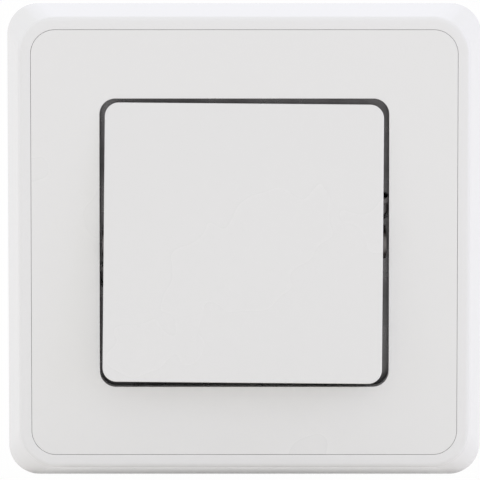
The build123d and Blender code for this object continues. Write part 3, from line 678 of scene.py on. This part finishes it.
def zinc():
    """Zinc plated steel sheet."""
    tint = mechanism().zinc_colour
    return metal("Zinc Plated Steel", tint, toned(tint, 0.84), roughness=0.26,
                 streaks=(90.0, 900.0, 2600.0), mottle=0.6, change=0.22, shade=0.7,
                 depth=25.0 * MM, edge=0.12 * MM)


def screw_zinc():
    """Zinc plated screws, brighter than the sheet."""
    tint = mechanism().zinc_colour
    return metal("Zinc Plated Screws", toned(tint, 1.1), toned(tint, 0.8), roughness=0.2,
                 streaks=(2600.0, 400.0, 2600.0), mottle=0.4, shade=0.8, depth=12.0 * MM)


def brass():
    """Stamped brass with a slight tarnish."""
    tint = mechanism().brass_colour
    return metal("Stamped Brass", tint, toned(tint, 0.6), roughness=0.24,
                 streaks=(300.0, 2600.0, 300.0), mottle=0.6, edge=0.12 * MM)


def silver():
    """Contact silver."""
    tint = mechanism().silver_colour
    return metal("Contact Silver", tint, toned(tint, 0.75), roughness=0.22,
                 streaks=(1500.0, 1500.0, 1500.0), mottle=0.5, edge=0.1 * MM)


def spring_steel():
    """Drawn spring wire."""
    tint = mechanism().spring_colour
    return metal("Spring Wire", tint, toned(tint, 0.7), roughness=0.25,
                 streaks=(900.0, 900.0, 900.0), mottle=0.5)


# Operators, one for each piece or group of like pieces


def rib_rows(name, material, slot, **sizes):
    """Rows of ribs behind a piece of the front."""
    values = {label.capitalize(): size for label, size in sizes.items()}
    ribs = run_tree(name, shared_group("Rib Rows", rib_tree), {**values, "Material": material})
    dressed(ribs, material, "base", slot)


def ring_shell(name, section, material, slot, node):
    """A square ring with the given section, which stands for a CAD node."""
    bm = bmesh.new()
    add_loft(bm, rounded_stations(section, closed=True), closed=True, segments=20)
    dressed(object_from(name, bm), material, "base", slot, node)


class SWITCH_OT_surround_frame(Operator):
    """Builds the surround frame with its sloping sides, rebate, hollow back and ribs"""

    bl_idname = "switch.surround_frame"
    bl_label = "Surround frame"

    def execute(self, context):
        s = context.scene.switch_front
        rim = 0.9 * MM
        rim_round = 6.0 * MM
        ledge_corner = 3.0 * MM
        rib_gap = 0.4 * MM
        rebate = s.rebate_side / 2
        ledge = s.ledge_side / 2
        ledge_top = s.front - s.plate_thick
        ledge_under = ledge_top - s.ledge_thick
        hollow_half = s.frame_side / 2 - s.wall
        hollow_corner = s.frame_corner - 0.8 * MM
        shrink = ledge_under * math.tan(s.hollow_taper)
        fine = s.edge_round * HIDDEN_EDGE
        section = [
            (s.frame_side / 2, s.frame_corner, 0.0, fine),
            (s.frame_side / 2, s.frame_corner, s.foot, s.edge_round),
            (s.shoulder_side / 2, s.shoulder_corner, s.front - s.crown, s.shoulder_round),
            (rebate + rim, s.rebate_corner + rim, s.front, rim_round),
            (rebate, s.rebate_corner, s.front, s.edge_round),
            (rebate, s.rebate_corner, ledge_top, fine),
            (ledge, ledge_corner, ledge_top, fine),
            (ledge, ledge_corner, ledge_under, fine),
            (hollow_half - shrink, hollow_corner - shrink, ledge_under, fine),
            (hollow_half, hollow_corner, 0.0, fine),
        ]
        ring_shell("surround_frame_shell", section, frame_plastic(), "frame_plastic", "surround_frame")
        rib_rows("surround_frame_ribs", frame_plastic(), "frame_plastic",
                 count=4, spacing=16.0 * MM, length=3.6 * MM, width=1.0 * MM,
                 height=ledge_under - rib_gap, reach=37.4 * MM, level=(ledge_under + rib_gap) / 2)
        return {"FINISHED"}


class SWITCH_OT_centre_plate(Operator):
    """Builds the centre plate with its opening, guide wall, ribs and clip legs"""

    bl_idname = "switch.centre_plate"
    bl_label = "Centre plate"

    def execute(self, context):
        s = context.scene.switch_front
        under = s.front - s.plate_thick
        outer = s.rebate_side / 2 - s.plate_gap
        outer_corner = s.rebate_corner - s.plate_gap
        inner = s.opening_side / 2
        guide = inner + s.guide_wall
        guide_corner = s.opening_corner + s.guide_wall
        guide_bottom = s.front - s.guide_depth
        recess = under + 0.5 * MM
        recess_half = s.ledge_side / 2 - 1.0 * MM
        recess_corner = 2.5 * MM
        rib_height = 0.7 * MM
        fine = s.edge_round * HIDDEN_EDGE
        section = [
            (outer, outer_corner, under, fine),
            (outer, outer_corner, s.front, s.edge_round),
            (inner, s.opening_corner, s.front, s.edge_round),
            (inner, s.opening_corner, guide_bottom, fine),
            (guide, guide_corner, guide_bottom, fine),
            (guide, guide_corner, recess, fine),
            (recess_half, recess_corner, recess, fine),
            (recess_half, recess_corner, under, fine),
        ]
        ring_shell("centre_plate_face", section, plate_plastic(), "plate_plastic", "centre_plate")
        rib_rows("centre_plate_ribs", plate_plastic(), "plate_plastic",
                 count=3, spacing=15.0 * MM, length=8.2 * MM, width=1.0 * MM,
                 height=rib_height, reach=29.6 * MM, level=under + rib_height / 2)
        legs = self.clip_legs(s.leg_inner, s.leg_inner + s.leg_thick, under)
        dressed(legs, plate_plastic(), "base", "plate_plastic")
        return {"FINISHED"}

    def clip_legs(self, inner, outer, under):
        """Four hooked legs that reach through the yoke."""
        root = under + 0.6 * MM
        catch = -0.25 * MM
        hook = outer + 0.8 * MM
        hook_end = -0.7 * MM
        lead = outer - 0.2 * MM
        tip = -1.8 * MM
        near = 9.6 * MM
        far = 14.0 * MM
        outline = [(inner, root), (outer, root), (outer, catch), (hook, catch), (hook, hook_end),
                   (lead, tip), (inner, tip)]
        bm = bmesh.new()
        for side in (-1, 1):
            for up in (-1, 1):
                add_prism(bm, outline, (up * near, up * far), lambda a, b, h: (side * a, -b, h))
        bevelled(bm, 0.08 * MM)
        return object_from("centre_plate_legs", bm)


class SWITCH_OT_key(Operator):
    """Builds the large square key with its skirt, notches, ribs and clips"""

    bl_idname = "switch.key"
    bl_label = "Key"

    def execute(self, context):
        s = context.scene.switch_key
        rim = s.face_height - s.skirt
        under = s.face_height - s.face_thick
        rim_half = s.side / 2 - s.draft
        inside = rim_half - s.wall
        inner_corner = 1.2 * MM
        inner_round = 0.12 * MM
        rim_round = 0.2 * MM
        section = [
            (inside, inner_corner, under, rim_round),
            (inside, inner_corner, rim, inner_round),
            (rim_half, s.corner - s.draft, rim, rim_round),
            (s.side / 2, s.corner, s.face_height, s.edge_round),
        ]
        bm = bmesh.new()
        add_loft(bm, rounded_stations(section, closed=False, steps=8), closed=False, segments=18)
        cap = object_from("key_cap", bm)
        spare = 1.0 * MM
        notch = bmesh.new()
        for side in (-1, 1):
            across = sorted((side * (inside - spare), side * s.side))
            add_box(notch, across, (-s.notch / 2, s.notch / 2), (rim - spare, under))
        cut(cap, object_from("notch", notch))
        back = self.back_detail(under)
        turn = self.rest_place(s)
        for piece in (cap, back):
            piece.data.transform(turn)
        dressed(cap, key_plastic(), "key", "key_plastic", "key")
        dressed(back, key_plastic(), "key", "key_plastic")
        return {"FINISHED"}

    def back_detail(self, under):
        """The ribs and the four hooked clips behind the face."""
        bm = bmesh.new()
        root = under + 0.05 * MM
        rib = (1.05 * MM, root)
        half = 0.5 * MM
        upright = 11.5 * MM
        across = 18.0 * MM
        apart = 6.0 * MM
        for offset in (-apart, apart):
            add_box(bm, (offset - half, offset + half), (-upright, upright), rib)
            add_box(bm, (-across, across), (offset - half, offset + half), rib)
        near = 8.4 * MM
        far = 9.6 * MM
        catch = -0.9 * MM
        hook = 0.8 * MM
        clip_across = 12.0 * MM
        clip_half = 2.3 * MM
        outline = [(near, root), (far, root), (far, catch), (far + hook, catch),
                   (far, catch - hook), (near, catch - hook)]
        for side in (-1, 1):
            middle = side * clip_across
            for up in (-1, 1):
                add_prism(bm, outline, (middle - clip_half, middle + clip_half),
                          lambda a, b, h: (h, -b, up * a))
        bevelled(bm, 0.06 * MM)
        return object_from("key_back", bm)

    def rest_place(self, s):
        """The key's place at rest: skewed and shifted in its opening, tilted about its pivot."""
        skew = Matrix.Translation((-s.shift, 0.0, 0.0)) @ Matrix.Rotation(s.skew, 4, "Y")
        tilt = Matrix.Rotation(-s.tilt, 4, "X")
        return Matrix.Translation((0.0, -s.pivot_height, s.pivot_up)) @ tilt @ skew


class SWITCH_OT_rocker(Operator):
    """Finishes the rocker carrier and the plunger"""

    bl_idname = "switch.rocker"
    bl_label = "Rocker and plunger"

    def execute(self, context):
        finish_node("rocker_carrier", carrier_plastic())
        finish_node("plunger", carrier_plastic())
        return {"FINISHED"}


class SWITCH_OT_housing(Operator):
    """Finishes the yoke, the cover and the body of the mechanism"""

    bl_idname = "switch.housing"
    bl_label = "Yoke, cover and body"

    def execute(self, context):
        finish_node("support_yoke", zinc())
        finish_node("mechanism_cover", cover_plastic())
        finish_node("mechanism_body", body_plastic())
        return {"FINISHED"}


class SWITCH_OT_contacts(Operator):
    """Builds the return spring and finishes the contact set and the terminal cages"""

    bl_idname = "switch.contacts"
    bl_label = "Contacts"

    def execute(self, context):
        for name in ("contact_lever", "resting_strip", "working_strip", "common_strip"):
            finish_node(name, brass())
        for name in ("terminal_cage_1", "terminal_cage_2", "terminal_cage_3"):
            finish_node(name, brass())
        for name in ("moving_tip", "resting_tip", "working_tip"):
            finish_node(name, silver())
        self.spring(context.scene.switch_mechanism)
        return {"FINISHED"}

    def spring(self, s):
        """The round wire coil, drawn at one length; in the real switch it shortens as the lever swings
        back.
        """
        rise = s.spring_top - s.spring_foot - 2 * s.spring_wire
        foot = Vector((0.0, -s.spring_foot - s.spring_wire, s.spring_up))
        coil = run_tree("return_spring_coil", shared_group("Wound Ridge", helix_tree), {
            "Turns": s.spring_turns, "Steps": 28, "Radius": s.spring_radius, "Rise": rise,
            "Wire": s.spring_wire, "Sides": 10, "Centre": foot, "Material": spring_steel()})
        dressed(coil, spring_steel(), "base", "spring_steel", "return_spring")
        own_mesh(coil)


def slotted_screw(name, shank_radius, shank, head_radius, head, slot=0.8, core=None):
    """A screw that points into the wall from its seat at height 0, in millimetres."""
    chamfer = 0.35
    neck = 0.02
    dome_steps = 6
    core = core or shank_radius
    profile = [(core - chamfer, -shank), (core, -shank + chamfer), (core, -neck),
               (shank_radius, 0.0), (head_radius, 0.0), (head_radius, head / 2)]
    for step in range(1, dome_steps + 1):
        turn = math.radians(90 * step / dome_steps)
        inset = head / 2 * (1 - math.cos(turn))
        profile.append((head_radius - inset, head / 2 * (1 + math.sin(turn))))
    bm = bmesh.new()
    add_lathe(bm, [(radius * MM, height * MM) for radius, height in profile])
    screw = object_from(name, bm)
    groove = bmesh.new()
    spare = 1
    reach = (head_radius + spare) * MM
    add_box(groove, (-reach, reach), (-slot / 2 * MM, slot / 2 * MM),
            (head / 2 * MM, (head + spare) * MM))
    return cut(screw, object_from("groove", groove))


class SWITCH_OT_screws(Operator):
    """Seats the cover screws and the terminal screws"""

    bl_idname = "switch.screws"
    bl_label = "Cover and terminal screws"

    def execute(self, context):
        s = context.scene.switch_mechanism
        corners = [(side * s.cover_screw_x, -s.cover_face, up * s.cover_screw_up)
                   for side in (-1, 1) for up in (-1, 1)]
        screw = slotted_screw("cover_screw_form", shank_radius=1.05, shank=8.5, head_radius=2.0,
                              head=1.1, slot=0.6)
        self.seat("cover_screws_seated", corners, screw, seed=5, node="cover_screws")
        wells = [(s.terminal_x, s.terminal_seat, -s.terminal_up),
                 (-s.terminal_x, s.terminal_seat, -s.terminal_up),
                 (0.0, s.terminal_seat, s.terminal_up)]
        screw = slotted_screw("terminal_screw_form", shank_radius=1.7, shank=3.6, head_radius=2.8,
                              head=1.3)
        screw.data.transform(Matrix.Rotation(math.pi, 4, "X"))
        self.seat("terminal_screws_seated", wells, screw, seed=2, node="terminal_screws")
        return {"FINISHED"}

    def seat(self, name, places, screw, seed, node):
        """Puts the screw at each place, as one piece that stands for a CAD node."""
        seats = bpy.data.meshes.new(name + "_seats")
        seats.from_pydata(places, [], [])
        values = {"Screw": screw, "Seed": seed, "Material": screw_zinc()}
        piece = run_tree(name, shared_group("Seated Screws", seat_tree), values, source=seats)
        bpy.data.objects.remove(screw)
        dressed(piece, screw_zinc(), "base", "screw_steel", node)


class SWITCH_OT_claws(Operator):
    """Builds the threaded claw screws and finishes the nuts and the spreading claws"""

    bl_idname = "switch.claws"
    bl_label = "Claws"

    def execute(self, context):
        s = context.scene.switch_mechanism
        core = 1.28
        threaded = 18.2 * MM
        slot_turn = math.radians(35)
        for name, side in (("right", 1), ("left", -1)):
            body = f"claw_screw_{name}"
            seat = Vector((side * s.claw_screw_x, -s.yoke_face, side * s.claw_screw_up))
            screw = slotted_screw(f"{body}_form", shank_radius=1.5, shank=19.5, head_radius=2.5,
                                  head=1.9, core=core)
            screw.data.transform(Matrix.Translation(seat) @ Matrix.Rotation(-side * slot_turn, 4, "Y"))
            dressed(screw, screw_zinc(), body, "screw_steel", body)
            thread = run_tree(f"claw_thread_{name}", shared_group("Wound Ridge", helix_tree), {
                "Turns": threaded / s.thread_pitch, "Steps": 20, "Radius": core * MM,
                "Rise": threaded, "Wire": 0.22 * MM, "Sides": 4,
                "Centre": seat + Vector((0.0, s.thread_start, 0.0)), "Material": screw_zinc()})
            dressed(thread, screw_zinc(), body, "screw_steel")
            finish_node(f"claw_nut_{name}", zinc())
            finish_node(f"spreader_claw_{name}", zinc())
        return {"FINISHED"}


class SWITCH_OT_stage(Operator):
    """Sets up the floor, the soft lights and the camera"""

    bl_idname = "switch.stage"
    bl_label = "Stage"

    def execute(self, context):
        s = context.scene.switch_stage
        reach = 6.0
        floor_z = CAD_BOX[0][2] - s.floor_drop
        mesh = bpy.data.meshes.new("floor")
        corners = [(-reach, -reach, floor_z), (reach, -reach, floor_z),
                   (reach, reach, floor_z), (-reach, reach, floor_z)]
        mesh.from_pydata(corners, [], [(0, 1, 2, 3)])
        mesh.materials.append(self.pale_floor(s))
        placed("floor", mesh)
        self.even_light(context.scene, s)
        self.softbox(s, "top_light", s.top_power, at=(0.0, 0.72, 0.58), size=(0.9, 0.4))
        self.softbox(s, "left_light", s.left_power, at=(-0.9, -0.25, 0.15), size=(0.5, 0.9))
        self.softbox(s, "right_light", s.right_power, at=(0.9, -0.25, 0.15), size=(0.5, 0.9))
        self.camera(context.scene, s)
        context.scene.view_settings.view_transform = "Standard"
        return {"FINISHED"}

    def direct_view(self, tree, near=0.0):
        """One where a ray comes from the camera, a mirror or glass, and zero elsewhere.

        A mirrored ray shorter than near doesn't count, so a gloss close to a contact stays shaded."""
        path = tree.nodes.new("ShaderNodeLightPath").outputs
        far = ramp(tree, path["Ray Length"], low=near, high=3 * near + MM)
        mirrored = result_of(tree, "MULTIPLY", path["Is Glossy Ray"], far)
        first = result_of(tree, "MAXIMUM", path["Is Camera Ray"], mirrored)
        return result_of(tree, "MAXIMUM", first, path["Is Transmission Ray"])

    def pale_floor(self, s):
        """A pale floor that shows nearly white and keeps a faint shadow."""
        material = bpy.data.materials.new("Pale Floor")
        material.use_nodes = True
        tree = material.node_tree
        matt = tree.nodes["Principled BSDF"]
        matt.inputs["Roughness"].default_value = 0.9
        matt.inputs["Specular IOR Level"].default_value = 0.0
        where = tree.nodes.new("ShaderNodeTexCoord").outputs["Object"]
        tone = ramp(tree, noise(tree, where, scale=60.0), start=0.98)
        tree.links.new(scaled(tree, tuple(s.floor_colour), tone), matt.inputs["Base Color"])
        glow = tree.nodes.new("ShaderNodeEmission")
        part = result_of(tree, "MULTIPLY", self.direct_view(tree, near=2.4 * MM), s.floor_white)
        shown = add_node(tree, "ShaderNodeMixShader", {0: part, 1: matt, 2: glow})
        tree.links.new(shown.outputs["Shader"], tree.nodes["Material Output"].inputs["Surface"])
        return material

    def even_light(self, scene, s):
        """The world: white where it is seen, an even fill elsewhere."""
        world = bpy.data.worlds.new("Studio")
        world.use_nodes = True
        tree = world.node_tree
        sky = tree.nodes["Background"]
        sky.inputs["Color"].default_value = (1.0, 1.0, 1.0, 1.0)
        way = tree.nodes.new("ShaderNodeTexCoord").outputs["Generated"]
        up = add_node(tree, "ShaderNodeSeparateXYZ", {"Vector": way})
        above = result_of(tree, "MAXIMUM", up.outputs["Z"], 0.0)
        light = result_of(tree, "MULTIPLY_ADD", above, s.zenith, s.fill)
        strength = add_node(tree, "ShaderNodeMix", {"Factor": self.direct_view(tree), 2: light, 3: 1.0},
                            data_type="FLOAT")
        tree.links.new(strength.outputs[0], sky.inputs["Strength"])
        scene.world = world

    def pointed(self, name, data, at, way):
        """Puts a lamp or a camera in its place, pointing the given way."""
        holder = placed(name, data)
        holder.location = at
        holder.rotation_euler = way.to_track_quat("-Z", "Y").to_euler()
        return holder

    def softbox(self, s, name, power, at, size):
        """A rectangular lamp that points at the switch."""
        lamp = bpy.data.lights.new(name, "AREA")
        lamp.shape = "RECTANGLE"
        lamp.size = size[0]
        lamp.size_y = size[1]
        lamp.energy = power
        lamp.color = s.lamp_colour
        self.pointed(name, lamp, at, -Vector(at))

    def camera(self, scene, s):
        """The camera of the photograph."""
        data = bpy.data.cameras.new("camera")
        data.lens = s.lens
        data.sensor_width = 36.0
        aim = Vector((s.look_x, -s.look_height, s.look_up))
        away = Vector((0.0, -math.cos(s.elevation), math.sin(s.elevation)))
        scene.camera = self.pointed("camera", data, aim + away * s.distance, -away)


class SWITCH_PT_panel(Panel):
    """Lists the switch's pieces and settings"""

    bl_idname = "SWITCH_PT_panel"
    bl_label = "Pushbutton Switch"
    bl_space_type = "VIEW_3D"
    bl_region_type = "UI"
    bl_category = "Switch"

    def draw(self, context):
        for operator in OPERATORS:
            self.layout.operator(operator.bl_idname)
        for group in SETTINGS:
            settings = getattr(context.scene, group)
            box = self.layout.box()
            for name in settings.__annotations__:
                box.prop(settings, name)


OPERATORS = (
    SWITCH_OT_surround_frame,
    SWITCH_OT_centre_plate,
    SWITCH_OT_key,
    SWITCH_OT_rocker,
    SWITCH_OT_housing,
    SWITCH_OT_contacts,
    SWITCH_OT_screws,
    SWITCH_OT_claws,
    SWITCH_OT_stage,
)
SETTINGS = {
    "switch_front": FrontSettings,
    "switch_key": KeySettings,
    "switch_mechanism": MechanismSettings,
    "switch_stage": StageSettings,
}


def register():
    for group, settings in SETTINGS.items():
        bpy.utils.register_class(settings)
        setattr(bpy.types.Scene, group, PointerProperty(type=settings))
    for operator in OPERATORS:
        bpy.utils.register_class(operator)
    bpy.utils.register_class(SWITCH_PT_panel)


def unregister():
    bpy.utils.unregister_class(SWITCH_PT_panel)
    for operator in reversed(OPERATORS):
        bpy.utils.unregister_class(operator)
    for group, settings in reversed(SETTINGS.items()):
        delattr(bpy.types.Scene, group)
        bpy.utils.unregister_class(settings)


def main():
    """Registers the settings and operators, then builds every piece in order."""
    register()
    bpy.ops.switch.surround_frame()
    bpy.ops.switch.centre_plate()
    bpy.ops.switch.key()
    bpy.ops.switch.rocker()
    bpy.ops.switch.housing()
    bpy.ops.switch.contacts()
    bpy.ops.switch.screws()
    bpy.ops.switch.claws()
    bpy.ops.switch.stage()


if __name__ == "__main__":
    main()
